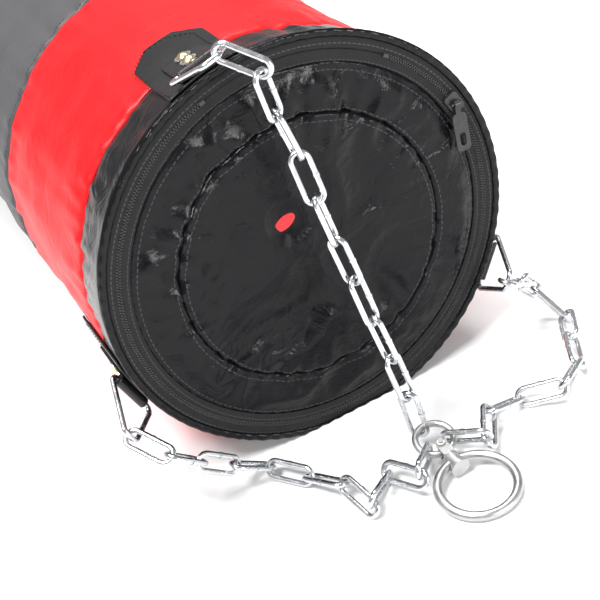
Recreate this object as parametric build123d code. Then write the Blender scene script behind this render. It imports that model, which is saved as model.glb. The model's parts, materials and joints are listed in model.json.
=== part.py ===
"""Uppercut bag lying on its side, with its three-chain harness laid out in front of the lid.

Millimetres, +Z up.  The bag's axis runs along Y and the zipped lid faces -Y.  The origin lies on the flat
underside that the bag rests on, halfway along the bag and straight below the middle of its mouth.  Angles
round the bag are clockwise from the top, seen from the lid.
"""
from build123d import *
from math import cos, degrees, radians, sin, sqrt
import os

import numpy as np

# bag
BAG_LENGTH = 900.0
RIM_RADIUS = 151.0          # mouth of the bag, where the lid is zipped in
BODY_NARROWING = 4.0        # the slack body behind the mouth is this much smaller in radius
FLATTENING = 6.0            # how far the bag has settled onto its underside
BODY_SHIFT = -4.0           # the body leans a little to the left of the mouth
COVER = 2.0                 # coated fabric with its backing
NEAR_BAND = 48.0            # black band next to the lid
RED_BAND = 182.0
REAR_BAND = 48.0
SEAM_GAP = 0.3              # clearance between soft pieces

# lid and zip
LID_PANEL = 1.5
INNER_PANEL_RADIUS = 97.0
ZIP_INSET = 13.0            # from the rim's edge in to the zip
COIL_WIDTH = 3.4
COIL_DEPTH = 2.6
TAPE_WIDTH = 6.0
TAPE_THICKNESS = 0.8
BINDING_DEPTH = 2.4
ZIP_START = 38.0            # the coil's two ends, in degrees round the mouth
ZIP_END = 340.0
STOP_ARC = 1.6              # degrees
STOP_GAP = 0.1
STOP_PROUD = 0.8
SLIDER_ANGLE = 65.0
SLIDER_LENGTH = 15.0
SLIDER_WIDTH = 10.4
SLIDER_PLATE = 2.2
SLIDER_CORNER = 2.5
WING_GAP = 0.9              # between the coil and the slider's side wings
WING_SETBACK = 2.0          # wings shorter than the plate, at each end
BAIL_HEIGHT = 2.2
BAIL_RADIUS = 0.9
BAIL_LENGTH = 8.0
PULL_LENGTH = 36.0
PULL_WIDTH = 11.0
PULL_THICKNESS = 1.6
PULL_NECK = 7.0
PULL_CORNER = 3.5
EYE_WALL = 1.0
WINDOW_WIDTH = 4.5
WINDOW_LENGTH = 10.0
WINDOW_UP = 9.0             # its middle above the tab's end
TAG_LENGTH = 17.0
TAG_WIDTH = 9.5
TAG_THICKNESS = 0.6
TAG_X = -14.0
TAG_Z = 172.0
TAG_TURN = 20.0

# strap patches, their loops and rivets
PATCH_WIDTH = 56.0
PATCH_LENGTH = 92.0
PATCH_THICKNESS = 2.0
PATCH_CORNER = 17.0
STRAP_WIDTH = 30.0
STRAP_LENGTH = 46.0
STRAP_THICKNESS = 2.0
LOOP_WALL = 1.6
RIVET_OFFSETS = (11.0, 23.0, 35.0)   # behind the D-ring's base bar
RIVET_SHANK = 2.0
RIVET_HEAD = 4.5
RIVET_DOME = 2.4
RIVET_WASHER = 6.0
WASHER_THICKNESS = 0.8
FASTENER_GAP = 0.05

# D-rings: bent wire, wide at the strap and narrow at the chain
RING_WIRE = 2.0
RING_BASE = 46.0
RING_REACH = 42.0
RING_TOP = 12.0
RING_CORNER = 5.0
RING_CLEARANCE = 0.3
# angle round the bag, swing out from straight ahead, distance of the base bar behind the lid
RING_PLACES = {1: (-14.0, 22.0, 6.0), 2: (-111.0, 25.0, 20.0), 3: (121.5, -12.0, 8.0)}

# chain
LINK_WIRE = 2.0
LINK_PITCH = 32.0           # inside length
LINK_CROWN = 6.0            # centreline radius of a crown
LINK_CLEARANCE = 0.4
WELD_RADIUS = 2.35
WELD_LENGTH = 2.2

# joining ring, swivel and hanging ring
SMALL_RADIUS = 13.25
SMALL_WIRE = 2.4
SMALL_HEIGHT = 15.0
SMALL_TILT = 14.6           # far side up, pulled by the first chain
HOOK_ANGLES = {1: 97, 2: 213, 3: 357}   # where each chain hooks on, from +X round the ring's own face
FIRST_HOOK = 0.68           # how far up its D-ring's leg the first chain has slid
HOOK_CLEARANCE = {1: LINK_CLEARANCE, 2: 3.0, 3: 3.0}
YOKE_ANGLE = 272.0
YOKE_CLEARANCE = 0.8
YOKE_STRAP = 1.5
YOKE_WIDTH = 8.0
YOKE_EDGE = 1.6             # metal beyond the bolt's hole
BOLT_RADIUS = 1.5
BOLT_HEAD = 2.8
BOLT_HEAD_HEIGHT = 1.6
BOLT_PROUD = 0.9            # end of the bolt beyond its nut
NUT_ACROSS = 5.5
PIN_RADIUS = 2.5
PIN_BORE_GAP = 0.1
PIN_HEAD_RADIUS = 7.0
PIN_HEAD_HEIGHT = 2.5
PIN_RIVET_RADIUS = 2.7
PIN_RIVET_HEIGHT = 0.5
SWIVEL_WASHER = 5.5
SWIVEL_WASHER_HEIGHT = 0.8
SWIVEL_PLAY = 0.15
HANGING_RADIUS = 26.5
HANGING_WIRE = 3.5
HANGING_TILT = -7.0
BOSS_RADIUS = 5.6
BOSS_LENGTH = 9.4

# how each chain lies, link by link: heading round Z from +X, slope up, roll of the link about its length,
# and how far the contact has slid round its near crown and its far crown; all in degrees
CHAIN_LAY = {
    1: [(319, -30, 267, -39, 72), (218, -101, 279, 35, 39), (331, -77, 328, 4, 24), (290, -77, 38, -9, 6),
        (317, -80, 352, 6, 1), (308, -78, 93, -28, 0), (289, -75, 349, -4, -4), (297, -75, 98, 1, -9),
        (301, -78, 9, 6, 9), (289, -82, 67, 26, 54)],
    2: [(303, -20, 27, -7, 2), (29, -47, 183, -31, -2), (12, -43, 81, -1, -1), (10, -37, 171, 4, 29),
        (304, -1, 58, 2, -18), (297, 9, 151, 3, 0), (281, -12, 60, 15, 60), (41, -14, 110, -46, 33),
        (296, 4, 52, -40, 62), (48, -17, 91, -28, -12)],
    3: [(35, -35, 194, 3, 1), (35, -46, 105, -3, -3), (300, -43, 127, 23, 29), (241, 5, 34, -18, -4),
        (243, -3, 131, 4, 6), (218, 12, 48, -3, -27), (144, -13, 128, 11, -6), (192, 17, 28, 15, 9),
        (237, -5, 124, 0, 48), (130, -12, 71, -32, 9)],
}

# worked out from the sizes above
RIM_HEIGHT = RIM_RADIUS - FLATTENING
BODY_RADIUS = RIM_RADIUS - BODY_NARROWING
BODY_HEIGHT = BODY_RADIUS - FLATTENING
ZIP_RADIUS = RIM_RADIUS - ZIP_INSET
LID_Y = -BAG_LENGTH / 2
REAR_Y = BAG_LENGTH / 2
NEAR_SEAM = LID_Y + NEAR_BAND
RED_SEAM = NEAR_SEAM + RED_BAND
REAR_SEAM = REAR_Y - REAR_BAND
REAR_RED_SEAM = REAR_SEAM - RED_BAND
LOOP_BORE = RING_WIRE + RING_CLEARANCE
LOOP_RADIUS = LOOP_BORE + LOOP_WALL
STRAP_BASE = SEAM_GAP + PATCH_THICKNESS + SEAM_GAP
LINK_SPAN = LINK_PITCH + 2 * LINK_WIRE      # between the wire centres of a link's two crowns
CHAIN_LAY_WIDTH = 5
COIL_FRONT = LID_Y - COIL_DEPTH / 2


def vec(values):
    return Vector(*[float(v) for v in values])


def unit(values):
    values = np.array(values, float)
    return values / np.linalg.norm(values)


def outward(angle):
    return np.array([sin(radians(angle)), 0.0, cos(radians(angle))])


def clockwise(angle):
    return np.array([cos(radians(angle)), 0.0, -sin(radians(angle))])


def save(name, solids):
    """One STEP file per node: a single solid, or a group of separate ones."""
    solids = list(solids) if isinstance(solids, (list, tuple)) else [solids]
    solids = [s for piece in solids for s in piece.solids()]
    export_step(solids[0] if len(solids) == 1 else Compound(solids), f"parts/{name}.step")


# ---- bag -------------------------------------------------------------------------------------------------

def section(y, inset):
    """The bag's section at y: a circle with a flat underside, drawn in by inset."""
    share = min(max((y - LID_Y) / NEAR_BAND, 0.0), 1.0)
    radius = RIM_RADIUS + share * (BODY_RADIUS - RIM_RADIUS) - inset
    height = RIM_HEIGHT + share * (BODY_HEIGHT - RIM_HEIGHT)
    drop = height - max(inset, 0.0)
    half_flat = sqrt(radius ** 2 - drop ** 2)
    start = -degrees(np.arctan2(drop, half_flat))
    with BuildSketch(Plane(origin=(share * BODY_SHIFT, y, height), x_dir=(1, 0, 0), z_dir=(0, -1, 0))) as face:
        with BuildLine():
            CenterArc((0, 0), radius, start, 180 - 2 * start)
            Line((-half_flat, -drop), (half_flat, -drop))
        make_face()
    return face.sketch.faces()[0]


def bag_solid(y0, y1, inset=0.0):
    """The bag's own form between two places along it, tapered next to the lid and straight behind."""
    pieces = []
    if y0 < NEAR_SEAM:
        pieces.append(loft([section(y0, inset), section(min(y1, NEAR_SEAM), inset)], ruled=True))
    if y1 > NEAR_SEAM:
        start = max(y0, NEAR_SEAM)
        pieces.append(extrude(section(start, inset), amount=y1 - start, dir=(0, 1, 0)))
    return pieces[0] if len(pieces) == 1 else pieces[0].fuse(pieces[1])


def cover_band(y0, y1):
    return bag_solid(y0, y1) - bag_solid(y0, y1, COVER)


def mouth_plane(y):
    """A plane across the bag at y, centred on the mouth and facing the front."""
    return Plane(origin=(0, y, RIM_HEIGHT), x_dir=(1, 0, 0), z_dir=(0, -1, 0))


def above_floor(solid):
    size = 4 * RIM_RADIUS
    return solid & Pos(0, LID_Y, size / 2) * Box(size, size, size)


def mouth_ring(inner, outer, front, back):
    """A flat ring round the mouth, from y = front to y = back."""
    ring = Circle(outer) - Circle(inner) if inner > 0 else Circle(outer)
    return extrude(mouth_plane(back) * ring, amount=back - front)


def lid():
    outer_edge = ZIP_RADIUS - COIL_WIDTH / 2 - TAPE_WIDTH - SEAM_GAP
    save("lid_inner_panel", mouth_ring(0, INNER_PANEL_RADIUS - SEAM_GAP, LID_Y, LID_Y + LID_PANEL))
    save("lid_outer_panel", mouth_ring(INNER_PANEL_RADIUS, outer_edge, LID_Y, LID_Y + LID_PANEL))
    tag = Plane(origin=(TAG_X, LID_Y, TAG_Z), x_dir=(1, 0, 0), z_dir=(0, -1, 0)) * Rot(0, 0, TAG_TURN)
    save("lid_tag", extrude(tag * Ellipse(TAG_LENGTH / 2, TAG_WIDTH / 2), amount=TAG_THICKNESS))


def zip_and_binding():
    inside = ZIP_RADIUS - COIL_WIDTH / 2
    outside = ZIP_RADIUS + COIL_WIDTH / 2
    tape_edge = outside + TAPE_WIDTH
    back = LID_Y + TAPE_THICKNESS
    save("zip_tape_lid", mouth_ring(inside - TAPE_WIDTH, inside - SEAM_GAP / 2, LID_Y, back))
    bag_tape = mouth_ring(outside + SEAM_GAP / 2, tape_edge, LID_Y, back)
    save("zip_tape_bag", bag_tape & bag_solid(LID_Y - 1, back + 1, COVER + SEAM_GAP))
    binding = mouth_ring(tape_edge + SEAM_GAP, RIM_RADIUS, LID_Y - BINDING_DEPTH, LID_Y)
    save("rim_binding", above_floor(binding))
    coil = revolve_round_mouth(COIL_WIDTH - SEAM_GAP, COIL_DEPTH, ZIP_START, ZIP_END)
    save("zip_coil", coil)
    stops = [revolve_round_mouth(COIL_WIDTH, COIL_DEPTH + STOP_PROUD, angle, angle + STOP_ARC)
             for angle in (ZIP_START - STOP_GAP - STOP_ARC, ZIP_END + STOP_GAP)]
    save("zip_stops", stops)


def revolve_round_mouth(width, depth, start, end):
    """A bar of rounded section bent round the mouth at the zip's radius."""
    plane = Plane(origin=vec(outward(start) * ZIP_RADIUS + [0, LID_Y, RIM_HEIGHT]),
                  x_dir=vec(outward(start)), z_dir=vec(clockwise(start)))
    profile = plane * RectangleRounded(width, depth, min(width, depth) * 0.3)
    axis = Axis((0, LID_Y, RIM_HEIGHT), (0, 1, 0))
    return revolve(profile, axis, revolution_arc=end - start)


def zip_slider():
    """Top plate with two side wings over the coil, and a bail for the pull."""
    front = COIL_FRONT - SEAM_GAP
    wing_inside = COIL_WIDTH / 2 + WING_GAP
    wing = SLIDER_WIDTH / 2 - wing_inside
    face = Plane(origin=vec(outward(SLIDER_ANGLE) * ZIP_RADIUS + [0, front, RIM_HEIGHT]),
                 x_dir=vec(outward(SLIDER_ANGLE)), z_dir=(0, -1, 0))
    plate = extrude(face * RectangleRounded(SLIDER_WIDTH, SLIDER_LENGTH, SLIDER_CORNER), amount=SLIDER_PLATE)
    depth = LID_Y - SEAM_GAP - front
    slider = plate
    for side in (-1, 1):
        spot = Pos(side * (wing_inside + wing / 2), 0, 0) * Rectangle(wing, SLIDER_LENGTH - 2 * WING_SETBACK)
        slider += extrude(face * spot, amount=-depth)
    bar_y = pull_axis()
    post = BAIL_LENGTH / 2 - BAIL_RADIUS
    centre = outward(SLIDER_ANGLE) * ZIP_RADIUS + [0, 0, RIM_HEIGHT]
    for side in (-1, 1):
        reach = front - SLIDER_PLATE - bar_y
        spot = Pos(centre[0] + side * post, bar_y + (reach + BAIL_RADIUS) / 2, centre[2])
        slider += spot * Box(2 * BAIL_RADIUS, reach + BAIL_RADIUS, 2 * BAIL_RADIUS)
    bar = Rot(0, 90, 0) * Cylinder(BAIL_RADIUS, BAIL_LENGTH)
    slider += Pos(centre[0], bar_y, centre[2]) * bar
    save("zip_slider", slider)


def pull_axis():
    """The y of the bail's bar, which the pull turns on."""
    return COIL_FRONT - SEAM_GAP - SLIDER_PLATE - BAIL_HEIGHT


def zip_pull():
    """A flat tab that hangs from an eye on the bail."""
    centre = outward(SLIDER_ANGLE) * ZIP_RADIUS + [0, 0, RIM_HEIGHT]
    eye_hole = BAIL_RADIUS + SEAM_GAP
    eye_radius = eye_hole + EYE_WALL
    eye_width = BAIL_LENGTH - 4 * BAIL_RADIUS - 2 * SEAM_GAP
    plate = Plane(origin=(centre[0], pull_axis() + PULL_THICKNESS / 2, centre[2]),
                  x_dir=(1, 0, 0), z_dir=(0, -1, 0))
    tab_length = PULL_LENGTH - PULL_NECK
    neck = Pos(0, -PULL_NECK / 2) * Rectangle(eye_width, PULL_NECK + 1)
    tab = Pos(0, -PULL_NECK - tab_length / 2) * RectangleRounded(PULL_WIDTH, tab_length, PULL_CORNER)
    window = Pos(0, WINDOW_UP - PULL_LENGTH) * RectangleRounded(WINDOW_WIDTH, WINDOW_LENGTH, WINDOW_WIDTH * 0.49)
    outline = neck + tab - window
    pull = extrude(plate * outline, amount=PULL_THICKNESS)
    eye = Pos(*centre) * Pos(0, pull_axis(), 0) * Rot(0, 90, 0)
    pull += eye * Cylinder(eye_radius, eye_width)
    pull -= eye * Cylinder(eye_hole, 3 * eye_width)
    save("zip_pull", pull)


def bag():
    save("near_band", with_rivet_holes(cover_band(LID_Y, NEAR_SEAM)))
    front_red = with_rivet_holes(cover_band(NEAR_SEAM, RED_SEAM))
    save("red_bands", [front_red, cover_band(REAR_RED_SEAM, REAR_SEAM)])
    save("grey_band", cover_band(RED_SEAM, REAR_RED_SEAM))
    save("rear_band", cover_band(REAR_SEAM, REAR_Y))
    inside = COVER + SEAM_GAP
    save("rear_disc", bag_solid(REAR_Y - COVER, REAR_Y, inside))
    save("filling", bag_solid(LID_Y + LID_PANEL + SEAM_GAP, REAR_Y - COVER - SEAM_GAP, inside))


# ---- strap patches and D-rings ---------------------------------------------------------------------------

def surface_radius(angle, y):
    """Distance from the mouth's axis out to the cover, at an angle round the bag and a place along it."""
    share = min(max((y - LID_Y) / NEAR_BAND, 0.0), 1.0)
    radius = RIM_RADIUS + share * (BODY_RADIUS - RIM_RADIUS)
    centre = np.array([share * BODY_SHIFT, 0.0, share * (BODY_HEIGHT - RIM_HEIGHT)])
    along = float(outward(angle) @ centre)
    return along + sqrt(along ** 2 - float(centre @ centre) + radius ** 2)


def ring_frame(k):
    """Centre of a D-ring's base bar, the bar's direction and the direction of the ring's reach."""
    angle, swing, behind = RING_PLACES[k]
    seat = surface_radius(angle, LID_Y + behind) + STRAP_BASE + LOOP_RADIUS
    centre = outward(angle) * seat + [0, LID_Y + behind, RIM_HEIGHT]
    reach = np.array([0, -cos(radians(swing)), 0]) + outward(angle) * sin(radians(swing))
    return centre, clockwise(angle), reach


def surface_point(angle, y):
    return outward(angle) * surface_radius(angle, y) + [0, y, RIM_HEIGHT]


def rivet_planes(k):
    """One plane on the cover at each rivet, square to the surface there."""
    angle, _, behind = RING_PLACES[k]
    planes = []
    for offset in RIVET_OFFSETS:
        y = LID_Y + behind + offset
        back = surface_point(angle, y + 1) - surface_point(angle, y - 1)
        round_ = surface_point(angle + 1, y) - surface_point(angle - 1, y)
        normal = np.cross(back, round_)
        normal = normal if normal @ outward(angle) > 0 else -normal
        planes.append(Plane(origin=vec(surface_point(angle, y)), x_dir=vec(back), z_dir=vec(normal)))
    return planes


def rivet_cuts(k, radius):
    deep = COVER + 2
    high = STRAP_BASE + STRAP_THICKNESS + 2
    return [plane * Pos(0, 0, (high - deep) / 2) * Cylinder(radius, high + deep) for plane in rivet_planes(k)]


def with_rivet_holes(solid):
    for k in RING_PLACES:
        for cut in rivet_cuts(k, RIVET_SHANK + FASTENER_GAP):
            solid -= cut
    return solid


def wrapped_panel(k, outline, low, high, y0, y1):
    """A panel lying on the cover between two heights above it, cut to an outline seen from outside."""
    angle = RING_PLACES[k][0]
    skin = bag_solid(y0 - 1, y1 + 1, -high) - bag_solid(y0 - 2, y1 + 2, -low)
    plane = Plane(origin=vec(outward(angle) * RIM_RADIUS / 2 + [0, LID_Y, RIM_HEIGHT]),
                  x_dir=vec(clockwise(angle)), z_dir=vec(outward(angle)))
    side = 1 if (plane.y_dir.Y > 0) else -1
    points = [(x, side * (y - LID_Y)) for x, y in outline]
    return skin & extrude(plane * make_face(Polyline(*points, close=True)), amount=RIM_RADIUS)


def strap(k):
    """Reinforcing patch, and the strap on it that loops round the D-ring's base bar."""
    centre, bar, _ = ring_frame(k)
    base_y = centre[1]
    half = PATCH_WIDTH / 2
    y0 = base_y - LOOP_RADIUS
    y1 = y0 + PATCH_LENGTH
    corner = PATCH_CORNER
    outline = [(-half, y0), (half, y0), (half, y1 - corner), (half - corner, y1),
               (corner - half, y1), (-half, y1 - corner)]
    patch = wrapped_panel(k, outline, SEAM_GAP, SEAM_GAP + PATCH_THICKNESS, y0, y1)
    half = STRAP_WIDTH / 2
    y1 = base_y + STRAP_LENGTH
    outline = [(-half, base_y), (half, base_y), (half, y1), (-half, y1)]
    tail = wrapped_panel(k, outline, STRAP_BASE, STRAP_BASE + STRAP_THICKNESS, base_y, y1)
    along = Plane(origin=vec(centre), z_dir=vec(bar))
    loop = tail + along * Cylinder(LOOP_RADIUS, STRAP_WIDTH)
    loop -= along * Cylinder(LOOP_BORE, 2 * STRAP_WIDTH)
    for cut in rivet_cuts(k, RIVET_SHANK + FASTENER_GAP):
        patch -= cut
        loop -= cut
    return patch, loop


def rivets(k):
    """Domed rivets on flat washers, through the strap, the patch and the cover."""
    top = STRAP_BASE + STRAP_THICKNESS + SEAM_GAP / 2
    heads = []
    washers = []
    for plane in rivet_planes(k):
        flat = Cylinder(RIVET_WASHER, WASHER_THICKNESS) - Cylinder(RIVET_SHANK + FASTENER_GAP, 2)
        washers.append(plane * Pos(0, 0, top + WASHER_THICKNESS / 2) * flat)
        seat = top + WASHER_THICKNESS + FASTENER_GAP
        ball = (RIVET_HEAD ** 2 + RIVET_DOME ** 2) / (2 * RIVET_DOME)
        dome = Pos(0, 0, seat + RIVET_DOME - ball) * Sphere(ball)
        dome &= Pos(0, 0, seat + RIVET_DOME) * Box(4 * ball, 4 * ball, 2 * RIVET_DOME)
        shank_end = -COVER + SEAM_GAP
        shank = Pos(0, 0, (shank_end + seat) / 2) * Cylinder(RIVET_SHANK, seat - shank_end)
        heads.append(plane * (dome + shank))
    return heads, washers


def wire_loop(points, corner, wire):
    """Round wire bent through a closed run of points."""
    path = FilletPolyline(*[vec(p) for p in points], radius=corner, close=True)
    start = path @ 0
    direction = path % 0
    return sweep(Plane(origin=start, z_dir=direction) * Circle(wire), path=path)


def d_ring(k):
    centre, bar, reach = ring_frame(k)
    tip = centre + reach * RING_REACH
    points = [centre - bar * RING_BASE / 2, tip - bar * RING_TOP / 2,
              tip + bar * RING_TOP / 2, centre + bar * RING_BASE / 2]
    return wire_loop(points, RING_CORNER, RING_WIRE)


# ---- chains ----------------------------------------------------------------------------------------------

def link_axes(heading, slope, roll):
    """A link's length direction and the direction of its crowns' wire."""
    turn, rise, lean = radians(heading), radians(slope), radians(roll)
    along = np.array([cos(turn) * cos(rise), sin(turn) * cos(rise), sin(rise)])
    side = np.array([-sin(turn), cos(turn), 0.0])
    return along, side * cos(lean) + np.cross(along, side) * sin(lean)


def round_crown(along, crown, slip):
    """At a slip round a crown: the direction out from the crown's centre, and the wire's direction."""
    turn = radians(slip)
    return cos(turn) * along + sin(turn) * crown, -sin(turn) * along + cos(turn) * crown


def away(wire, other, out):
    """The direction square to two crossing wires, on the side of out."""
    pull = unit(np.cross(wire, other))
    return pull if pull @ out > 0 else -pull


def lay_chain(start, wire, angles):
    """Hook link after link into the wire before it.

    Each link is its middle, its length direction and its crowns' direction, followed by the point, the wire's
    direction and the outward direction where the next link may hook on.
    """
    links = []
    out = None
    for heading, slope, roll, near, far in angles:
        along, crown = link_axes(heading, slope, roll)
        inward, near_wire = round_crown(along, crown, -near)
        pull = away(wire, near_wire, inward if out is None else inward + out)
        contact = start - pull * (2 * LINK_WIRE + LINK_CLEARANCE)
        middle = contact + inward * LINK_CROWN + along * (LINK_SPAN / 2 - LINK_CROWN)
        out, wire = round_crown(along, crown, far)
        start = middle + along * (LINK_SPAN / 2 - LINK_CROWN) + out * LINK_CROWN
        links.append((middle, along, crown, start, wire, out))
    return links


def hook_direction(k):
    """Directions out to a chain's place on the joining ring, and along the ring's wire there."""
    face = small_ring_normal()
    across = unit(np.cross([0, 1, 0], face))
    angle = radians(HOOK_ANGLES[k])
    out = across * cos(angle) + np.cross(face, across) * sin(angle)
    return out, np.cross(face, out)


def hook_point(k, links):
    """The point of the joining ring's wire that the chain's last crown holds."""
    end, wire, out = links[-1][3:]
    pull = away(wire, hook_direction(k)[1], out)
    return end - pull * (LINK_WIRE + SMALL_WIRE + HOOK_CLEARANCE[k])


def chain_start(k):
    """Where the first link hooks its D-ring: a leg for the first chain, the narrow end for the others."""
    centre, bar, reach = ring_frame(k)
    if k == 1:
        corner = centre + bar * RING_BASE / 2
        tip = centre + reach * RING_REACH + bar * RING_TOP / 2
        return corner + (tip - corner) * FIRST_HOOK, unit(tip - corner)
    return centre + reach * RING_REACH, bar


def settle_chain(k, miss):
    """Turn every link a little, all by as little as possible, until the chain's end is where it should be."""
    start, wire = chain_start(k)
    angles = np.array(CHAIN_LAY[k], float)
    step = 0.01
    for _ in range(12):
        gap = miss(lay_chain(start, wire, angles))
        if np.linalg.norm(gap) < 1e-6:
            break
        slopes = np.zeros((len(gap), angles.size))
        for i in range(angles.size):
            if i % CHAIN_LAY_WIDTH > 1:
                continue
            tried = angles.copy()
            tried.flat[i] += step
            slopes[:, i] = (miss(lay_chain(start, wire, tried)) - gap) / step
        angles -= (np.linalg.pinv(slopes) @ gap).reshape(angles.shape)
    return lay_chain(start, wire, angles)


def lay_harness():
    """The three chains and the centre of the joining ring that they meet at."""
    def first_miss(links):
        out, _ = hook_direction(1)
        centre = hook_point(1, links) - out * SMALL_RADIUS
        return np.array([centre[2] - SMALL_HEIGHT])

    chains = {1: settle_chain(1, first_miss)}
    centre = hook_point(1, chains[1]) - hook_direction(1)[0] * SMALL_RADIUS
    for k in (2, 3):
        target = centre + hook_direction(k)[0] * SMALL_RADIUS
        chains[k] = settle_chain(k, lambda links, k=k, target=target: hook_point(k, links) - target)
    return chains, centre


def chain_link():
    """A welded link along X, lying in the XY plane."""
    half = LINK_SPAN / 2 - LINK_CROWN
    crown = Torus(LINK_CROWN, LINK_WIRE, major_angle=180, align=None)
    link = Pos(half, 0, 0) * Rot(0, 0, -90) * crown
    link += Pos(-half, 0, 0) * Rot(0, 0, 90) * crown
    side = Rot(0, 90, 0) * Cylinder(LINK_WIRE, 2 * half)
    link += Pos(0, LINK_CROWN, 0) * side
    link += Pos(0, -LINK_CROWN, 0) * side
    link += Pos(0, LINK_CROWN, 0) * Rot(0, 90, 0) * Cylinder(WELD_RADIUS, WELD_LENGTH)
    return link


def place_link(link, middle, along, crown):
    plane = Plane(origin=vec(middle), x_dir=vec(along), z_dir=vec(np.cross(along, crown)))
    return plane.location * link


# ---- joining ring, swivel and hanging ring ---------------------------------------------------------------

def small_ring_normal():
    tilt = radians(SMALL_TILT)
    return np.array([0.0, -sin(tilt), cos(tilt)])


def swivel_frame(centre):
    """Plane at the joining ring's wire inside the yoke: X along the swivel's axis, Z across its jaws."""
    face = small_ring_normal()
    across = unit(np.cross([0, 1, 0], face))
    angle = radians(YOKE_ANGLE)
    out = across * cos(angle) + np.cross(face, across) * sin(angle)
    wire = np.cross(face, out)
    held = centre + out * SMALL_RADIUS
    tilt = radians(HANGING_TILT)
    flat = unit([out[0], out[1], 0])
    axis = flat * cos(tilt) + np.array([0, 0, 1]) * sin(tilt)
    axis = unit(axis - wire * (axis @ wire))
    return Plane(origin=vec(held), x_dir=vec(axis), z_dir=vec(np.cross(axis, wire)))


def along_x(start, end, radius):
    return Pos((start + end) / 2, 0, 0) * Rot(0, 90, 0) * Cylinder(radius, end - start)


def swivel(frame):
    inner = SMALL_WIRE + YOKE_CLEARANCE
    base = inner + PIN_RIVET_HEIGHT + FASTENER_GAP
    base_end = base + YOKE_STRAP
    bolt_x = -(inner + BOLT_RADIUS)
    tip = bolt_x - BOLT_RADIUS - YOKE_EDGE
    outer = inner + YOKE_STRAP
    yoke = Pos((tip + base_end) / 2, 0, 0) * Box(base_end - tip, YOKE_WIDTH, 2 * outer)
    mouth = 2 * (base - tip)
    yoke -= Pos(base - mouth / 2, 0, 0) * Box(mouth, 2 * YOKE_WIDTH, 2 * inner)
    outline = RectangleRounded(2 * (base_end - tip), YOKE_WIDTH, YOKE_WIDTH * 0.49)
    yoke &= Pos(base_end, 0, 0) * extrude(outline, amount=2 * outer, both=True)
    yoke -= Pos(bolt_x, 0, 0) * Cylinder(BOLT_RADIUS + FASTENER_GAP, 4 * outer)
    yoke -= along_x(base - 1, base_end + 1, PIN_RADIUS + FASTENER_GAP)
    save("swivel_yoke", frame * yoke)

    seat = outer + FASTENER_GAP
    bolt_end = seat + BOLT_HEAD_HEIGHT + BOLT_PROUD
    bolt = Pos(bolt_x, 0, (bolt_end - seat) / 2) * Cylinder(BOLT_RADIUS, bolt_end + seat)
    bolt += Pos(bolt_x, 0, -seat - BOLT_HEAD_HEIGHT / 2) * Cylinder(BOLT_HEAD, BOLT_HEAD_HEIGHT)
    save("yoke_bolt", frame * bolt)
    nut = extrude(RegularPolygon(NUT_ACROSS / 2, 6, major_radius=False), amount=BOLT_HEAD_HEIGHT)
    nut -= Cylinder(BOLT_RADIUS + FASTENER_GAP, 4 * BOLT_HEAD_HEIGHT)
    save("yoke_nut", frame * Pos(bolt_x, 0, seat) * nut)

    washer_start = base_end + FASTENER_GAP
    washer_end = washer_start + SWIVEL_WASHER_HEIGHT
    washer = along_x(washer_start, washer_end, SWIVEL_WASHER)
    washer -= along_x(base, washer_end + 1, PIN_RADIUS + FASTENER_GAP)
    save("swivel_washer", frame * washer)

    boss_start = washer_end + SWIVEL_PLAY
    boss_end = boss_start + BOSS_LENGTH
    middle = (boss_start + boss_end) / 2
    ring = Pos(middle + HANGING_RADIUS, 0, 0) * Torus(HANGING_RADIUS, HANGING_WIRE)
    ring += along_x(boss_start, boss_end, BOSS_RADIUS)
    ring -= along_x(boss_start - 1, boss_end + 1, PIN_RADIUS + PIN_BORE_GAP)
    save("hanging_ring", frame * ring)

    head = boss_end + SWIVEL_PLAY
    pin = along_x(inner, head + PIN_HEAD_HEIGHT, PIN_RADIUS)
    pin += along_x(inner, inner + PIN_RIVET_HEIGHT, PIN_RIVET_RADIUS)
    pin += along_x(head, head + PIN_HEAD_HEIGHT, PIN_HEAD_RADIUS)
    save("swivel_pin", frame * pin)


def harness():
    chains, centre = lay_harness()
    link = chain_link()
    for k, links in chains.items():
        save(f"d_ring_{k}", d_ring(k))
        for number, place in enumerate(links, 1):
            save(f"chain_{k}_link_{number:02d}", place_link(link, *place[:3]))
    ring = Plane(origin=vec(centre), z_dir=vec(small_ring_normal())) * Torus(SMALL_RADIUS, SMALL_WIRE)
    save("joining_ring", ring)
    swivel(swivel_frame(centre))


def straps():
    patches, loops, heads, washers = [], [], [], []
    for k in RING_PLACES:
        patch, loop = strap(k)
        patches.append(patch)
        loops.append(loop)
        head, washer = rivets(k)
        heads += head
        washers += washer
    save("strap_patches", patches)
    save("strap_loops", loops)
    save("rivets", heads)
    save("rivet_washers", washers)


os.makedirs("parts", exist_ok=True)
bag()
lid()
zip_and_binding()
zip_slider()
zip_pull()
straps()
harness()
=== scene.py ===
# %% [markdown]
# # Uppercut bag lying in front of the camera
# The bag's chains, rings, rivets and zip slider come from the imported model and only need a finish.
# Everything that is sewn is made again here: the coated cover, the lid, the tapes, the leather patches
# and the thread. Objects left over in the file go first, so that nothing strange shows.

# %% Frame
import bmesh
import bpy
import json
import math
from mathutils import Matrix, Vector, noise

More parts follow.
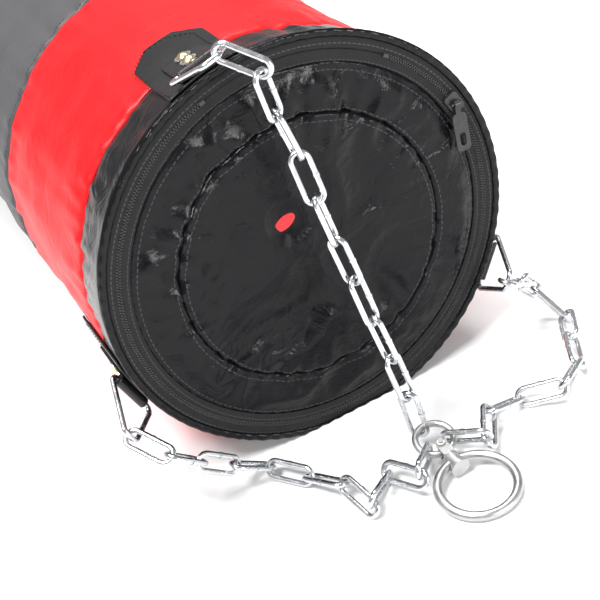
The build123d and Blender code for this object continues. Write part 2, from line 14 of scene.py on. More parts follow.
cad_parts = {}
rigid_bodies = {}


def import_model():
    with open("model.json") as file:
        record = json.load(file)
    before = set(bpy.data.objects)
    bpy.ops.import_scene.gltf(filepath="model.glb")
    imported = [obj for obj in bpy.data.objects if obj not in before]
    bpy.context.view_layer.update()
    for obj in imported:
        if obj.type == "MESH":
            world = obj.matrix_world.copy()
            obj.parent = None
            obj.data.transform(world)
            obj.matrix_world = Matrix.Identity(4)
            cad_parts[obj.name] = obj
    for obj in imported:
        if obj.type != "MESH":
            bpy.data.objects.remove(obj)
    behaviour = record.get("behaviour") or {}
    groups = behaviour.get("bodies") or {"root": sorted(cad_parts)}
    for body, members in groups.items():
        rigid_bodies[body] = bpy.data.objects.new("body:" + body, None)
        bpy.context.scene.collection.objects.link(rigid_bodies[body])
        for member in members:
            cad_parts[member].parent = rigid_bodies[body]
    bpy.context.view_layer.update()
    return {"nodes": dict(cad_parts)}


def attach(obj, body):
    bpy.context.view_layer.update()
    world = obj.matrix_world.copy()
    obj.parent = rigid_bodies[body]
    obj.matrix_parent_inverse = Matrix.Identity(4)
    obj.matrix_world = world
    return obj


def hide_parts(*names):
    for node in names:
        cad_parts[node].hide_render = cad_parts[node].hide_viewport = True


for leftover in list(bpy.data.objects):
    bpy.data.objects.remove(leftover)
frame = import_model()

# %% [markdown]
# ## The bag's own form
# A packed bag is a cylinder that has slumped onto a flat strip.  Its mouth is a little wider than its
# body, and the change happens across the first band.  Every sewn piece has to sit on the same form, so
# one function gives the point at an angle round the bag and a distance along it, and the pieces are
# bent over it.

# %% Bag form
LID = -0.450
END = 0.450
MOUTH = 0.145
RIM = 0.151
BODY = 0.147
BAND = 0.048
SEAMS = [LID + BAND, LID + BAND + 0.182, END - BAND - 0.182, END - BAND]


def share_behind_mouth(y):
    return min(max((y - LID) / BAND, 0.0), 1.0)


def on_bag(angle, y, lift=0.0):
    share = share_behind_mouth(y)
    radius = RIM + share * (BODY - RIM) + lift
    x = -0.004 * share + radius * math.sin(angle)
    z = MOUTH - 0.004 * share + radius * math.cos(angle)
    return Vector((x, y, max(z, 0.0006)))


def smooth_step(value, low, high):
    t = min(max((value - low) / (high - low), 0.0), 1.0)
    return t * t * (3 - 2 * t)


print("body girth", round(2 * math.pi * BODY, 3))

# %% [markdown]
# ## Slack in the cover
# Coated fabric over a loose filling is never smooth.  It has broad hollows, short puckers where a seam
# gathers it, and creases that run along the bag.  Noise gives the hollows, and waves that die away from
# each seam give the puckers.  Under the three patches the cover is held flat, so the slack fades out
# there.

# %% Slack
PATCHES = [(-14.0, 0.006), (-111.0, 0.020), (121.5, 0.008)]


def held_flat(angle, y):
    """1 where the cover is free, 0 under a patch."""
    free = smooth_step(y, LID + 0.002, LID + 0.016)
    for place, behind in PATCHES:
        turn = (angle - math.radians(place) + math.pi) % (2 * math.pi) - math.pi
        aside = smooth_step(abs(turn) * BODY, 0.029, 0.040)
        y0 = LID + behind - 0.004
        beyond = max(smooth_step(y0 - y, 0.000, 0.010), smooth_step(y - y0 - 0.092, 0.000, 0.012))
        free = min(free, max(aside, beyond))
    return free


def slack(angle, y):
    place = Vector((math.sin(angle) * 1.1, y * 7.0, math.cos(angle) * 1.1))
    hollow = 0.0030 * noise.noise(place * 1.9) + 0.0014 * noise.noise(place * 5.0)
    crease = Vector((math.sin(angle) * 9, y * 5.0, math.cos(angle) * 9))
    hollow += 0.0011 * noise.noise(crease)
    for n, seam in enumerate(SEAMS):
        away = abs(y - seam)
        wave = math.sin(angle * 41 + 5 * noise.noise(place * 2.3) + n) + 0.7 * math.sin(angle * 67 + 2 * n)
        hollow += 0.0010 * wave * math.exp(-away / 0.016) * min(1.0, away / 0.003)
        hollow -= 0.0016 * math.exp(-(away / 0.0028) ** 2)
    return min(hollow, 0.0030) * held_flat(angle, y) - 0.0002


print("slack at the top of the first seam", round(slack(0.0, SEAMS[0]), 5))

# %% [markdown]
# ## Sewing a tube
# Each band is a strip sewn into a tube.  A circle is drawn once and its edge is extruded along the bag,
# ring by ring.  The last step moves every vertex onto the bag's form with its slack.  The bands share
# the same form at their seams, so they meet.  A Solidify modifier gives the fabric its thickness.

# %% Tube helper
AROUND = 360


def new_piece(name, bm):
    mesh = bpy.data.meshes.new(name)
    bm.to_mesh(mesh)
    bm.free()
    for face in mesh.polygons:
        face.use_smooth = True
    piece = bpy.data.objects.new(name, mesh)
    bpy.context.scene.collection.objects.link(piece)
    return piece


def tube(y0, y1, step, around=AROUND):
    """A tube of unit radius round the Y axis, one ring of faces per step."""
    bm = bmesh.new()
    ring = bmesh.ops.create_circle(bm, segments=around, radius=1.0)["verts"]
    bmesh.ops.rotate(bm, verts=ring, cent=(0, 0, 0), matrix=Matrix.Rotation(math.radians(90), 3, "X"))
    bmesh.ops.translate(bm, verts=ring, vec=(0, y0, 0))
    edges = list(bm.edges)
    count = max(1, round((y1 - y0) / step))
    for _ in range(count):
        made = bmesh.ops.extrude_edge_only(bm, edges=edges)["geom"]
        verts = [g for g in made if isinstance(g, bmesh.types.BMVert)]
        edges = [g for g in made if isinstance(g, bmesh.types.BMEdge)]
        bmesh.ops.translate(bm, verts=verts, vec=(0, (y1 - y0) / count, 0))
    return bm


def face_out(bm):
    bmesh.ops.recalc_face_normals(bm, faces=bm.faces)
    total = sum(f.normal.dot(Vector((f.calc_center_median().x, 0, f.calc_center_median().z - MOUTH)))
                for f in bm.faces)
    if total < 0:
        bmesh.ops.reverse_faces(bm, faces=bm.faces)


def thicken(piece, depth):
    wall = piece.modifiers.new("fabric", "SOLIDIFY")
    wall.thickness = depth
    wall.offset = -1.0


def cover_band(name, y0, y1, nodes):
    bm = tube(y0, y1, 0.006)
    for vert in bm.verts:
        angle = math.atan2(vert.co.x, vert.co.z)
        vert.co = on_bag(angle, vert.co.y, slack(angle, vert.co.y))
    face_out(bm)
    piece = new_piece(name, bm)
    thicken(piece, 0.0018)
    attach(piece, "bag")
    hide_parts(*nodes)
    print(name, len(piece.data.polygons), "faces")
    return piece


print("tube helper ready")

# %% [markdown]
# ## The five bands
# Black, red, dark grey, red and black coated fabric make up the cover.  Each one is its own piece,
# because each is cut from its own cloth.  The filling is hidden behind them, so the grey band stands
# for it too.  The two red strips are one entry in the parts list, so both stand for it.

# %% Bands
near_band = cover_band("near_cover", LID, SEAMS[0], ["near_band"])
red_front = cover_band("red_cover_front", SEAMS[0], SEAMS[1], ["red_bands"])
grey_band = cover_band("grey_cover", SEAMS[1], SEAMS[2], ["grey_band", "filling"])
red_rear = cover_band("red_cover_rear", SEAMS[2], SEAMS[3], ["red_bands"])
rear_band = cover_band("rear_cover", SEAMS[3], END - 0.001, ["rear_band"])

# %% [markdown]
# ## Flat sewn rounds
# The lid and the bag's far end are round panels.  A circle is extruded inwards, each new ring drawn in
# a little, and the last one is filled.  Moving the vertices in and out then gives the creases of a
# slack panel.  Rings are spaced evenly, so a crease has the same detail at the edge as in the middle.

# %% Round panel helper


def round_panel(outer, inner, y, step, around=AROUND):
    """Rings of faces between two radii round the mouth's centre; inner 0 closes the middle."""
    bm = bmesh.new()
    ring = bmesh.ops.create_circle(bm, segments=around, radius=outer)["verts"]
    bmesh.ops.rotate(bm, verts=ring, cent=(0, 0, 0), matrix=Matrix.Rotation(math.radians(90), 3, "X"))
    edges = list(bm.edges)
    stop = max(inner, step)
    count = max(1, round((outer - stop) / step))
    for n in range(count):
        radius = outer + (stop - outer) * n / count
        after = outer + (stop - outer) * (n + 1) / count
        made = bmesh.ops.extrude_edge_only(bm, edges=edges)["geom"]
        verts = [g for g in made if isinstance(g, bmesh.types.BMVert)]
        edges = [g for g in made if isinstance(g, bmesh.types.BMEdge)]
        bmesh.ops.scale(bm, verts=verts, vec=(after / radius, 1, after / radius))
    if inner == 0:
        bmesh.ops.edgeloop_fill(bm, edges=edges)
        centre = [f for f in bm.faces if len(f.verts) > 4]
        bmesh.ops.poke(bm, faces=centre)
    bmesh.ops.translate(bm, verts=bm.verts, vec=(0, y, MOUTH))
    return bm


def face_along_y(bm, side):
    bmesh.ops.recalc_face_normals(bm, faces=bm.faces)
    if sum(f.normal.y * f.calc_area() for f in bm.faces) * side < 0:
        bmesh.ops.reverse_faces(bm, faces=bm.faces)


print("round panel helper ready")

# %% [markdown]
# ## The lid
# The lid is two pieces of thin glossy fabric: an outer ring and a round panel let into it, with a seam
# between. Nothing stretches it, so it is full of creases.  Ridged noise, the absolute value turned
# over, gives sharp crests with soft valleys, which is how such fabric folds.  The creases fade towards
# the zip, which holds the edge flat.

# %% Lid
PANEL = 0.097
LID_EDGE = 0.130
TAG = (-0.014, 0.027)


def ridge(place):
    return 1.0 - 2.4 * abs(noise.noise(place))


def lid_creases(x, z):
    r = math.hypot(x, z)
    a = math.atan2(x, z)
    bent = Vector((x, 0.3, z)) + 0.016 * Vector((noise.noise(Vector((x, 1, z)) * 22), 0,
                                                 noise.noise(Vector((x, 5, z)) * 22)))
    long_folds = ridge(Vector((bent.x * 10 + bent.z * 6, 2.0, bent.z * 22 - bent.x * 9)))
    cross_folds = ridge(Vector((bent.x * 30, 7.0, bent.z * 13)))
    fine = noise.noise(Vector((bent.x * 70, 3.0, bent.z * 55)))
    gathers = math.sin(a * 34 + 4 * noise.noise(Vector((x, 9, z)) * 18))
    near_seam = math.exp(-abs(r - PANEL) / 0.010)
    near_edge = math.exp(-(LID_EDGE - r) / 0.012) if r < LID_EDGE else 1.0
    depth = 0.0042 * long_folds + 0.0024 * cross_folds + 0.0007 * fine
    depth += 0.0013 * gathers * (near_seam + 0.8 * near_edge)
    tag = math.exp(-((x - TAG[0]) ** 2 + (z - TAG[1]) ** 2) / 0.014 ** 2)
    return (depth - 0.0010) * smooth_step(LID_EDGE + 0.001 - r, 0.0, 0.016) * (1 - tag) - 0.0002 * tag


def lid_panel(name, outer, inner, node):
    bm = round_panel(outer, inner, LID, 0.0024)
    for vert in bm.verts:
        x, z = vert.co.x, vert.co.z - MOUTH
        r = math.hypot(x, z)
        lift = min(lid_creases(x, z), 0.0044) - 0.0006 * math.exp(-((r - PANEL) / 0.0016) ** 2)
        vert.co.y = LID - max(lift, -0.0055)
    face_along_y(bm, -1)
    piece = new_piece(name, bm)
    thicken(piece, 0.0010)
    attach(piece, "bag")
    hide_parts(node)
    print(name, len(piece.data.polygons), "faces")
    return piece


lid_inner = lid_panel("lid_round_panel", PANEL, 0, "lid_inner_panel")
lid_outer = lid_panel("lid_outer_ring", LID_EDGE, PANEL, "lid_outer_panel")

# %% [markdown]
# ## The far end
# The other end is closed with a plain round panel, sewn in edge to edge and gathered a little at its
# seam.  The same round panel is used, facing the other way, with shallow hollows only.

# %% Far end
far = round_panel(1.0, 0, 0.0, 0.03)
for vert in far.verts:
    x, z = vert.co.x, vert.co.z - MOUTH
    r = math.hypot(x, z)
    angle = math.atan2(x, z) if r > 0 else 0.0
    edge = on_bag(angle, END - 0.001, slack(angle, END - 0.001))
    middle = Vector((-0.004, END, 0.141))
    spot = middle.lerp(edge, r)
    dent = 0.0030 * noise.noise(Vector((x * 2.5, 4, z * 2.5))) - 0.0020 * math.exp(-(1 - r) / 0.03)
    spot.y = END - 0.004 + dent * (1 - r ** 8) + 0.003 * (1 - r ** 2)
    vert.co = spot
face_along_y(far, 1)
rear_disc = new_piece("rear_panel", far)
thicken(rear_disc, 0.0018)
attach(rear_disc, "bag")
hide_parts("rear_disc")
print("rear_panel", len(rear_disc.data.polygons), "faces")

# %% [markdown]
# ## Zip tapes and the bound rim
# Two woven tapes carry the zip, and a folded binding finishes the mouth.  Each is a narrow ring with a
# slightly rounded section.  A ring of the right width is extruded from a circle and its height follows
# a low arch, with a small ripple from the sewing.

# %% Tapes
TAPE_RIPPLE = 0.00022


def bound_ring(name, inner, outer, arch, base, node, ripple):
    bm = round_panel(outer, inner, LID, (outer - inner) / 8)
    for vert in bm.verts:
        x, z = vert.co.x, vert.co.z - MOUTH
        r = math.hypot(x, z)
        a = math.atan2(x, z)
        across = (r - inner) / (outer - inner)
        rise = base + arch * (1 - (2 * across - 1) ** 4)
        rise += ripple * math.sin(a * 90 + 3 * noise.noise(Vector((x * 30, 1, z * 30))))
        vert.co.y = LID - rise
        vert.co.z = max(vert.co.z, 0.0006)
    face_along_y(bm, -1)
    piece = new_piece(name, bm)
    thicken(piece, 0.0008)
    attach(piece, "bag")
    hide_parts(node)
    print(name, len(piece.data.polygons), "faces")
    return piece


tape_lid = bound_ring("lid_tape", 0.1298, 0.1379, 0.0004, 0.0002, "zip_tape_lid", TAPE_RIPPLE)
tape_bag = bound_ring("bag_tape", 0.1381, 0.1462, 0.0004, 0.0002, "zip_tape_bag", TAPE_RIPPLE)
binding = bound_ring("bound_rim", 0.1459, 0.1514, 0.0012, 0.0006, "rim_binding", 0.0005)

# %% [markdown]
# ## Coil teeth
# The zip is a nylon coil: two rows of small hooked loops.  Each tooth is a little block with bevelled
# edges, and spin with duplicates sets it round the mouth.  Two rows, half a tooth apart and leaning
# opposite ways, read as a closed coil from any side.

# %% Zip coil
TOOTH = 0.0021
COIL_RADIUS = 0.138
COIL_START = 38.0
COIL_END = 340.0
TEETH = int(math.radians(COIL_END - COIL_START) * COIL_RADIUS / TOOTH)


def tooth_row(side, shift):
    bm = bmesh.new()
    block = bmesh.ops.create_cube(bm, size=1.0)["verts"]
    bmesh.ops.scale(bm, verts=block, vec=(0.0012, 0.0020, 0.0021))
    bmesh.ops.bevel(bm, geom=list(bm.edges), offset=0.0004, offset_type="OFFSET", affect="EDGES", segments=1,
                    profile=0.5, material=-1)
    bmesh.ops.rotate(bm, verts=bm.verts, cent=(0, 0, 0), matrix=Matrix.Rotation(side * 0.30, 3, "Y"))
    bmesh.ops.translate(bm, verts=bm.verts, vec=(0, LID - 0.0002, COIL_RADIUS + side * 0.0008))
    start = math.radians(COIL_START) + shift / COIL_RADIUS
    bmesh.ops.rotate(bm, verts=bm.verts, cent=(0, 0, 0), matrix=Matrix.Rotation(start, 3, "Y"))
    bmesh.ops.spin(bm, geom=bm.verts[:] + bm.edges[:] + bm.faces[:], cent=(0, 0, 0), axis=(0, 1, 0),
                   angle=math.radians(COIL_END - COIL_START) - TOOTH / COIL_RADIUS, steps=TEETH - 1,
                   use_duplicate=True)
    bmesh.ops.translate(bm, verts=bm.verts, vec=(0, 0, MOUTH))
    return bm


coil_mesh = bpy.data.meshes.new("coil")
both = bmesh.new()
for side, shift in ((-1, TOOTH * 0.3), (1, TOOTH * 0.8)):
    row = tooth_row(side, shift)
    row.to_mesh(coil_mesh)
    row.free()
    both.from_mesh(coil_mesh)
bmesh.ops.recalc_face_normals(both, faces=both.faces)
zip_coil = new_piece("zip_coil_teeth", both)
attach(zip_coil, "bag")
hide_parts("zip_coil")
print("teeth", 2 * TEETH, "faces", len(zip_coil.data.polygons))

# %% [markdown]
# ## Leather patches and straps
# Three leather patches spread the pull of the rings, and a folded strap on each one holds its ring.
# Their CAD solids have the right outline but knife edges.  A copy is merged, and a voxel remesh
# followed by smoothing rounds the edges as cut and pressed leather is.

# %% Leather


def softened(name, node, voxel, passes):
    piece = frame["nodes"][node].copy()
    piece.data = frame["nodes"][node].data.copy()
    piece.name = name
    bpy.context.scene.collection.objects.link(piece)
    piece.parent = None
    piece.matrix_world = Matrix.Identity(4)
    piece.data.materials.clear()
    bm = bmesh.new()
    bm.from_mesh(piece.data)
    bmesh.ops.remove_doubles(bm, verts=bm.verts, dist=0.00002)
    bmesh.ops.recalc_face_normals(bm, faces=bm.faces)
    bm.to_mesh(piece.data)
    bm.free()
    remesh = piece.modifiers.new("remesh", "REMESH")
    remesh.mode = "VOXEL"
    remesh.voxel_size = voxel
    smooth = piece.modifiers.new("round", "SMOOTH")
    smooth.iterations = passes
    smooth.factor = 0.5
    solid = bpy.data.meshes.new_from_object(piece.evaluated_get(bpy.context.evaluated_depsgraph_get()))
    piece.modifiers.clear()
    piece.data = solid
    for face in solid.polygons:
        face.use_smooth = True
    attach(piece, "bag")
    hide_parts(node)
    print(name, len(solid.polygons), "faces")
    return piece


patches = softened("leather_patches", "strap_patches", 0.0009, 3)
loops = softened("leather_strap_loops", "strap_loops", 0.0007, 3)

# %% [markdown]
# ## Thread
# A row of stitches follows each patch's edge.  One stitch is a short capsule: a low icosphere stretched
# along the seam.  Copies are laid at an even pitch along the outline, bent over the bag like the patch
# itself.

# %% Patch stitches
PITCH = 0.0040


def outline(behind):
    half = 0.0248
    y0 = LID + behind - 0.0010
    y1 = LID + behind - 0.0039 + 0.0888
    corner = 0.0160
    return [(-half, y0), (-half, y1 - corner), (corner - half, y1), (half - corner, y1), (half, y1 - corner),
            (half, y0)]


def stitch(bm, here, there, out):
    along = (there - here).normalized()
    side = out.cross(along).normalized()
    lift = along.cross(side)
    turn = Matrix((along, side, lift)).transposed()
    made = bmesh.ops.create_icosphere(bm, subdivisions=1, radius=1.0)["verts"]
    bmesh.ops.scale(bm, verts=made, vec=(PITCH * 0.36, 0.00042, 0.00036))
    bmesh.ops.rotate(bm, verts=made, cent=(0, 0, 0), matrix=turn)
    bmesh.ops.translate(bm, verts=made, vec=(here + there) / 2)


def on_patch(place, x, y):
    angle = math.radians(place) + x / BODY
    top = on_bag(angle, y, 0.0026)
    out = Vector((math.sin(angle), 0, math.cos(angle)))
    return top, out


threads = bmesh.new()
for place, behind in PATCHES:
    points = outline(behind)
    for (x0, y0), (x1, y1) in zip(points, points[1:]):
        run = math.hypot(x1 - x0, y1 - y0)
        count = max(1, round(run / PITCH))
        for n in range(count):
            a, b = n / count, (n + 0.75) / count
            here, out = on_patch(place, x0 + (x1 - x0) * a, y0 + (y1 - y0) * a)
            there, _ = on_patch(place, x0 + (x1 - x0) * b, y0 + (y1 - y0) * b)
            stitch(threads, here, there, out)
patch_thread = new_piece("patch_thread", threads)
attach(patch_thread, "bag")
print("thread faces", len(patch_thread.data.polygons))

# %% [markdown]
# ## Materials: shared helpers
# Every finish starts from a Principled shader.  Patterns read Object coordinates, because each piece's
# place is in its mesh, so a pattern stays put on it.  A helper adds noise at a given scale, another
# turns a height into a bump, and a third colours between two shades.

# %% Material helpers


def start_finish(name, roughness, metallic=0.0, coat=0.0, specular=0.5):
    material = bpy.data.materials.new(name)
    material.use_nodes = True
    tree = material.node_tree
    tree.nodes.clear()
    output = tree.nodes.new("ShaderNodeOutputMaterial")
    shader = tree.nodes.new("ShaderNodeBsdfPrincipled")
    tree.links.new(shader.outputs["BSDF"], output.inputs["Surface"])
    shader.inputs["Roughness"].default_value = roughness
    shader.inputs["Metallic"].default_value = metallic
    shader.inputs["Specular IOR Level"].default_value = specular
    shader.inputs["Coat Weight"].default_value = coat
    shader.inputs["Coat Roughness"].default_value = 0.12
    place = tree.nodes.new("ShaderNodeTexCoord").outputs["Object"]
    return material, tree, shader, place


def noise_at(tree, place, scale, detail=3.0, distortion=0.0):
    node = tree.nodes.new("ShaderNodeTexNoise")
    tree.links.new(place, node.inputs["Vector"])
    node.inputs["Scale"].default_value = scale
    node.inputs["Detail"].default_value = detail
    node.inputs["Distortion"].default_value = distortion
    return node.outputs["Fac"]


def maths(tree, operation, a, b=None, clamp=False):
    node = tree.nodes.new("ShaderNodeMath")
    node.operation = operation
    node.use_clamp = clamp
    for socket, value in zip(node.inputs, (a, b)):
        if value is None:
            continue
        if isinstance(value, (int, float)):
            socket.default_value = value
        else:
            tree.links.new(value, socket)
    return node.outputs[0]


def spread(tree, value, low, high, to_low, to_high):
    node = tree.nodes.new("ShaderNodeMapRange")
    tree.links.new(value, node.inputs["Value"])
    node.inputs["From Min"].default_value = low
    node.inputs["From Max"].default_value = high
    node.inputs["To Min"].default_value = to_low
    node.inputs["To Max"].default_value = to_high
    return node.outputs["Result"]


def two_shades(tree, value, dark, light):
    node = tree.nodes.new("ShaderNodeMix")
    node.data_type = "RGBA"
    tree.links.new(value, node.inputs["Factor"])
    node.inputs[6].default_value = (*dark, 1)
    node.inputs[7].default_value = (*light, 1)
    return node.outputs[2]


def shade_over(tree, mask, under, colour):
    node = tree.nodes.new("ShaderNodeMix")
    node.data_type = "RGBA"
    tree.links.new(mask, node.inputs["Factor"])
    tree.links.new(under, node.inputs[6])
    node.inputs[7].default_value = (*colour, 1)
    return node.outputs[2]


def bump(tree, shader, height, distance, strength=1.0, below=None):
    node = tree.nodes.new("ShaderNodeBump")
    tree.links.new(height, node.inputs["Height"])
    node.inputs["Distance"].default_value = distance
    node.inputs["Strength"].default_value = strength
    if below is not None:
        tree.links.new(below, node.inputs["Normal"])
    tree.links.new(node.outputs["Normal"], shader.inputs["Normal"])
    return node.outputs["Normal"]


def dress(piece, material):
    piece.data.materials.clear()
    piece.data.materials.append(material)


print("material helpers ready")

# %% [markdown]
# ## Lines of stitches that follow a seam
# Machine stitches on the cover run round the bag, so their place depends on the angle round the bag's
# axis and the distance from a seam.  The arctangent of X and Z gives the angle.  Times the radius and
# divided by the stitch length it counts stitches, and the fraction of that count says where in a stitch
# a point is.

# %% Stitch line


def polar(tree, place):
    axes = tree.nodes.new("ShaderNodeSeparateXYZ")
    tree.links.new(place, axes.inputs[0])
    x, y, z = axes.outputs
    up = maths(tree, "SUBTRACT", z, MOUTH - 0.002)
    angle = maths(tree, "ARCTAN2", x, up)
    squared = maths(tree, "ADD", maths(tree, "MULTIPLY", x, x), maths(tree, "MULTIPLY", up, up))
    radius = maths(tree, "SQRT", squared)
    return angle, radius, y


def stitch_line(tree, angle, across, at, around_radius, pitch=0.0042, half=0.00045):
    """1 on the thread, 0 off it, along the line where across equals at."""
    count = maths(tree, "FRACT", maths(tree, "MULTIPLY", angle, around_radius / pitch))
    on_stitch = maths(tree, "LESS_THAN", count, 0.68)
    off_line = maths(tree, "ABSOLUTE", maths(tree, "SUBTRACT", across, at))
    return maths(tree, "MULTIPLY", on_stitch, maths(tree, "LESS_THAN", off_line, half))


print("stitch helper ready")

# %% [markdown]
# ## Coated fabric
# The cover is cloth with a glossy vinyl coat: colour almost even, a soft shine, and a very fine pebble
# from the cloth below.  Small wrinkles live in the bump at three scales.  Rubbed spots are a little
# duller, so roughness follows a slow noise.  A stitched line is added on both sides of the seams a band
# touches.

# %% Coated fabric


def coated(name, dark, light, rough, coat, seams, thread, wrinkle=0.0010, specular=0.28):
    material, tree, shader, place = start_finish(name, rough, coat=coat, specular=specular)
    slow = noise_at(tree, place, 9.0, 4.0, 0.6)
    colour = two_shades(tree, slow, dark, light)
    angle, radius, y = polar(tree, place)
    mask = None
    for seam in seams:
        line = stitch_line(tree, angle, y, seam, BODY)
        mask = line if mask is None else maths(tree, "MAXIMUM", mask, line)
    folds = noise_at(tree, place, 38.0, 5.0, 1.6)
    pebble = noise_at(tree, place, 1100.0, 2.0)
    height = maths(tree, "ADD", maths(tree, "MULTIPLY", folds, wrinkle),
                   maths(tree, "MULTIPLY", pebble, 0.00005))
    if mask is not None:
        colour = shade_over(tree, mask, colour, thread)
        height = maths(tree, "ADD", height, maths(tree, "MULTIPLY", mask, 0.0003))
    tree.links.new(colour, shader.inputs["Base Color"])
    tree.links.new(spread(tree, slow, 0.3, 0.7, rough - 0.06, rough + 0.10), shader.inputs["Roughness"])
    bump(tree, shader, height, 1.0)
    return material


THREAD = (0.012, 0.012, 0.013)
SIDE = 0.0040
black_coat = coated("black coated fabric", (0.003, 0.003, 0.004), (0.007, 0.007, 0.008), 0.24, 0.05,
                    [SEAMS[0] - SIDE, SEAMS[3] + SIDE], (0.03, 0.03, 0.032), 0.0014, 0.16)
red_coat = coated("red coated fabric", (0.66, 0.002, 0.004), (0.82, 0.004, 0.008), 0.48, 0.03,
                  [SEAMS[0] + SIDE, SEAMS[1] - SIDE, SEAMS[2] + SIDE, SEAMS[3] - SIDE], (0.42, 0.01, 0.012))
grey_coat = coated("grey coated fabric", (0.055, 0.055, 0.058), (0.085, 0.085, 0.089), 0.48, 0.03,
                   [SEAMS[1] + SIDE, SEAMS[2] - SIDE], (0.03, 0.03, 0.032))
dress(binding, black_coat)
dress(near_band, black_coat)
dress(rear_band, black_coat)
dress(rear_disc, black_coat)
dress(red_front, red_coat)
dress(red_rear, red_coat)
dress(grey_band, grey_coat)
print("coated fabrics on", 7, "pieces")

# %% [markdown]
# ## The lid's thin fabric
# The lid is the same kind of cloth with a thinner, shinier coat, so its creases catch hard lights.  The
# stitches follow circles, so the radius takes the place of the distance along the bag.

# %% Lid fabric
material, tree, shader, place = start_finish("lid fabric", 0.20, coat=0.04, specular=0.15)
slow = noise_at(tree, place, 14.0, 4.0, 0.8)
colour = two_shades(tree, slow, (0.002, 0.002, 0.003), (0.005, 0.005, 0.006))
angle, radius, y = polar(tree, place)
mask = None
for at in (PANEL - 0.0038, PANEL + 0.0038, LID_EDGE - 0.004):
    line = stitch_line(tree, angle, radius, at, at)
    mask = line if mask is None else maths(tree, "MAXIMUM", mask, line)
colour = shade_over(tree, mask, colour, (0.035, 0.035, 0.036))
folds = noise_at(tree, place, 60.0, 5.0, 2.2)
fine = noise_at(tree, place, 1300.0, 2.0)
height = maths(tree, "ADD", maths(tree, "MULTIPLY", folds, 0.0011), maths(tree, "MULTIPLY", fine, 0.00003))
height = maths(tree, "ADD", height, maths(tree, "MULTIPLY", mask, 0.0003))
tree.links.new(colour, shader.inputs["Base Color"])
tree.links.new(spread(tree, slow, 0.3, 0.7, 0.13, 0.30), shader.inputs["Roughness"])
bump(tree, shader, height, 1.0)
dress(lid_inner, material)
dress(lid_outer, material)
print("lid fabric ready")

# %% [markdown]
# ## Woven tape
# Tape is woven, so two sets of fine waves cross at right angles: one round the mouth and one across the
# tape. Their product gives a weave in the bump, and the thread of its one sewn line shows a little
# lighter.

# %% Tape
material, tree, shader, place = start_finish("woven tape", 0.72, specular=0.3)
slow = noise_at(tree, place, 30.0)
colour = two_shades(tree, slow, (0.005, 0.005, 0.006), (0.012, 0.012, 0.013))
angle, radius, y = polar(tree, place)
warp = maths(tree, "SINE", maths(tree, "MULTIPLY", angle, 0.14 * 2 * math.pi / 0.0009))
weft = maths(tree, "SINE", maths(tree, "MULTIPLY", radius, 2 * math.pi / 0.0007))
weave = maths(tree, "MULTIPLY", warp, weft)
mask = stitch_line(tree, angle, radius, 0.1325, 0.1325, 0.0032, 0.0003)
for at in (0.1435, 0.1485):
    line = stitch_line(tree, angle, radius, at, at, 0.0036, 0.0004)
    mask = maths(tree, "MAXIMUM", mask, line)
colour = shade_over(tree, mask, colour, (0.055, 0.055, 0.057))
height = maths(tree, "ADD", maths(tree, "MULTIPLY", weave, 0.00007), maths(tree, "MULTIPLY", mask, 0.0003))
tree.links.new(colour, shader.inputs["Base Color"])
bump(tree, shader, height, 1.0)
for piece in (tape_lid, tape_bag, patch_thread):
    dress(piece, material)
print("tape ready")

# %% [markdown]
# ## Grained leather
# The patches are black leather with a pebbled grain.  Voronoi cells give the pebbles and the dark lines
# between them, and a slow noise lets rubbed places go duller.

# %% Leather finish
material, tree, shader, place = start_finish("grained leather", 0.36, coat=0.1, specular=0.28)
slow = noise_at(tree, place, 22.0, 4.0)
cells = tree.nodes.new("ShaderNodeTexVoronoi")
tree.links.new(place, cells.inputs["Vector"])
cells.inputs["Scale"].default_value = 620.0
grain = spread(tree, cells.outputs["Distance"], 0.0, 0.6, 1.0, 0.0)
colour = two_shades(tree, slow, (0.006, 0.006, 0.007), (0.014, 0.013, 0.013))
tree.links.new(colour, shader.inputs["Base Color"])
tree.links.new(spread(tree, slow, 0.3, 0.7, 0.28, 0.46), shader.inputs["Roughness"])
height = maths(tree, "ADD", maths(tree, "MULTIPLY", grain, 0.00012),
               maths(tree, "MULTIPLY", noise_at(tree, place, 70.0, 3.0, 1.0), 0.0005))
bump(tree, shader, height, 1.0)
dress(patches, material)
dress(loops, material)
print("leather ready")

# %% [markdown]
# ## Metals
# The links are bright zinc: smooth, almost mirror-like, with faint clouding.  The two rings and the
# swivel are duller galvanised steel.  Rivets are brass plated, washers are pale steel, and the zip's
# slider is black enamel that has rubbed at its edges.  One helper mixes two shades, clouds the
# roughness and adds fine scratches.

# %% Metal finishes


def metal(name, dark, light, low_rough, high_rough, cloud, scratch, metallic=1.0):
    material, tree, shader, place = start_finish(name, low_rough, metallic)
    slow = noise_at(tree, place, cloud, 4.0, 0.5)
    tree.links.new(two_shades(tree, slow, dark, light), shader.inputs["Base Color"])
    tree.links.new(spread(tree, slow, 0.3, 0.7, low_rough, high_rough), shader.inputs["Roughness"])
    stretched = tree.nodes.new("ShaderNodeMapping")
    stretched.inputs["Scale"].default_value = (1.0, 0.2, 1.0)
    tree.links.new(place, stretched.inputs["Vector"])
    marks = noise_at(tree, stretched.outputs["Vector"], 900.0, 3.0)
    bump(tree, shader, marks, scratch)
    return material


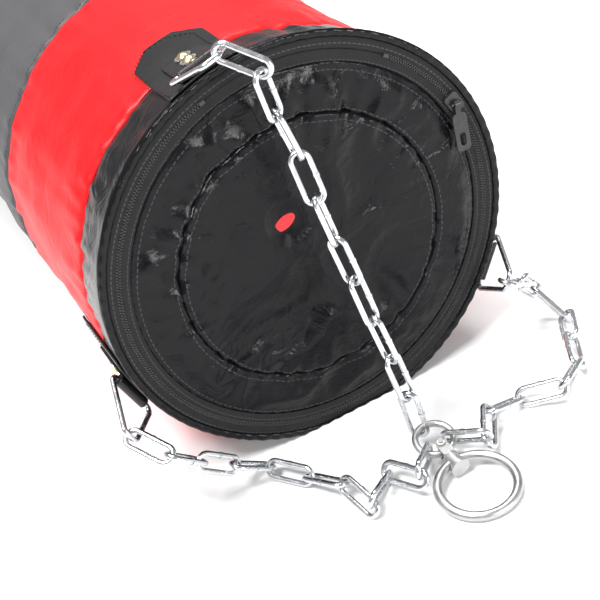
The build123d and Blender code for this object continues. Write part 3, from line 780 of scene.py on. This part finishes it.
zinc = metal("bright zinc", (0.52, 0.53, 0.55), (0.78, 0.79, 0.81), 0.16, 0.30, 160.0, 0.00004)
steel = metal("galvanised steel", (0.34, 0.34, 0.34), (0.56, 0.56, 0.55), 0.30, 0.48, 110.0, 0.00008)
brass = metal("plated brass", (0.60, 0.47, 0.24), (0.82, 0.70, 0.44), 0.20, 0.34, 200.0, 0.00003)
pale_steel = metal("pale steel", (0.55, 0.55, 0.53), (0.74, 0.74, 0.72), 0.28, 0.42, 180.0, 0.00004)
enamel = metal("black enamel", (0.012, 0.012, 0.013), (0.045, 0.045, 0.047), 0.26, 0.42, 240.0,
               0.00003, 0.3)
coil_nylon = metal("coil nylon", (0.012, 0.012, 0.013), (0.030, 0.030, 0.031), 0.38, 0.52, 300.0,
                   0.00003, 0.0)
tag_red = metal("moulded red", (0.55, 0.010, 0.016), (0.70, 0.020, 0.026), 0.30, 0.42, 150.0, 0.00004, 0.0)

FINISHES = {"rivets": brass, "rivet_washers": pale_steel, "zip_stops": enamel, "zip_slider": enamel,
            "zip_pull": enamel, "lid_tag": tag_red, "joining_ring": steel, "hanging_ring": steel,
            "swivel_yoke": steel, "swivel_washer": pale_steel, "swivel_pin": steel, "yoke_bolt": steel,
            "yoke_nut": pale_steel}
for name, node in frame["nodes"].items():
    if name.startswith(("chain_", "d_ring_")):
        dress(node, zinc)
    elif name in FINISHES:
        dress(node, FINISHES[name])
dress(zip_coil, coil_nylon)
print("metal finishes", len(FINISHES))

# %% [markdown]
# ## Floor, light and camera
# The bag lies on a plain pale floor.  A soft light high on the left, one low in front of the lid and
# one above, with an even pale world, give the folds of the black cloth their highlights.  The camera
# stands in front of the lid, above it and to its left, and looks down along the bag.

# %% Stage
floor_mesh = bmesh.new()
bmesh.ops.create_grid(floor_mesh, x_segments=1, y_segments=1, size=6.0)
floor = new_piece("floor", floor_mesh)
pale, tree, shader, place = start_finish("pale floor", 0.8, specular=0.2)
shade = two_shades(tree, noise_at(tree, place, 3.0), (0.90, 0.90, 0.90), (0.93, 0.93, 0.93))
tree.links.new(shade, shader.inputs["Base Color"])
dress(floor, pale)

world = bpy.data.worlds.new("studio")
bpy.context.scene.world = world
world.use_nodes = True
world.node_tree.nodes["Background"].inputs["Color"].default_value = (1.0, 1.0, 1.0, 1)
world.node_tree.nodes["Background"].inputs["Strength"].default_value = 0.42


def soft_light(name, place, target, size, power):
    lamp = bpy.data.lights.new(name, "AREA")
    lamp.shape = "RECTANGLE"
    lamp.size, lamp.size_y = size
    lamp.energy = power
    holder = bpy.data.objects.new(name, lamp)
    bpy.context.scene.collection.objects.link(holder)
    holder.location = place
    holder.rotation_euler = (Vector(target) - Vector(place)).to_track_quat("-Z", "Y").to_euler()


soft_light("key", (-0.9, -0.9, 1.9), (0, -0.4, 0.15), (0.8, 0.5), 50)
soft_light("front", (0.75, -2.20, 0.60), (0, -0.4, 0.15), (0.8, 0.35), 24)
soft_light("top", (0.2, 0.2, 2.0), (0, -0.2, 0.1), (1.4, 0.4), 44)

CAMERA_PLACE = (-0.24726, -1.16524, 0.60405)
RIGHT = (0.8707, -0.4360, -0.2276)
UP = (0.4208, 0.4208, 0.8037)
FORWARD = (0.2547, 0.7955, -0.5498)
lens = bpy.data.cameras.new("camera")
lens.lens = 77.8
lens.sensor_width = 36.0
camera = bpy.data.objects.new("camera", lens)
bpy.context.scene.collection.objects.link(camera)
axes = Matrix((RIGHT, UP, [-v for v in FORWARD])).transposed().to_4x4()
camera.matrix_world = Matrix.Translation(CAMERA_PLACE) @ axes
bpy.context.scene.camera = camera
bpy.context.scene.view_settings.view_transform = "Standard"
print("camera at", [round(v, 3) for v in camera.location])
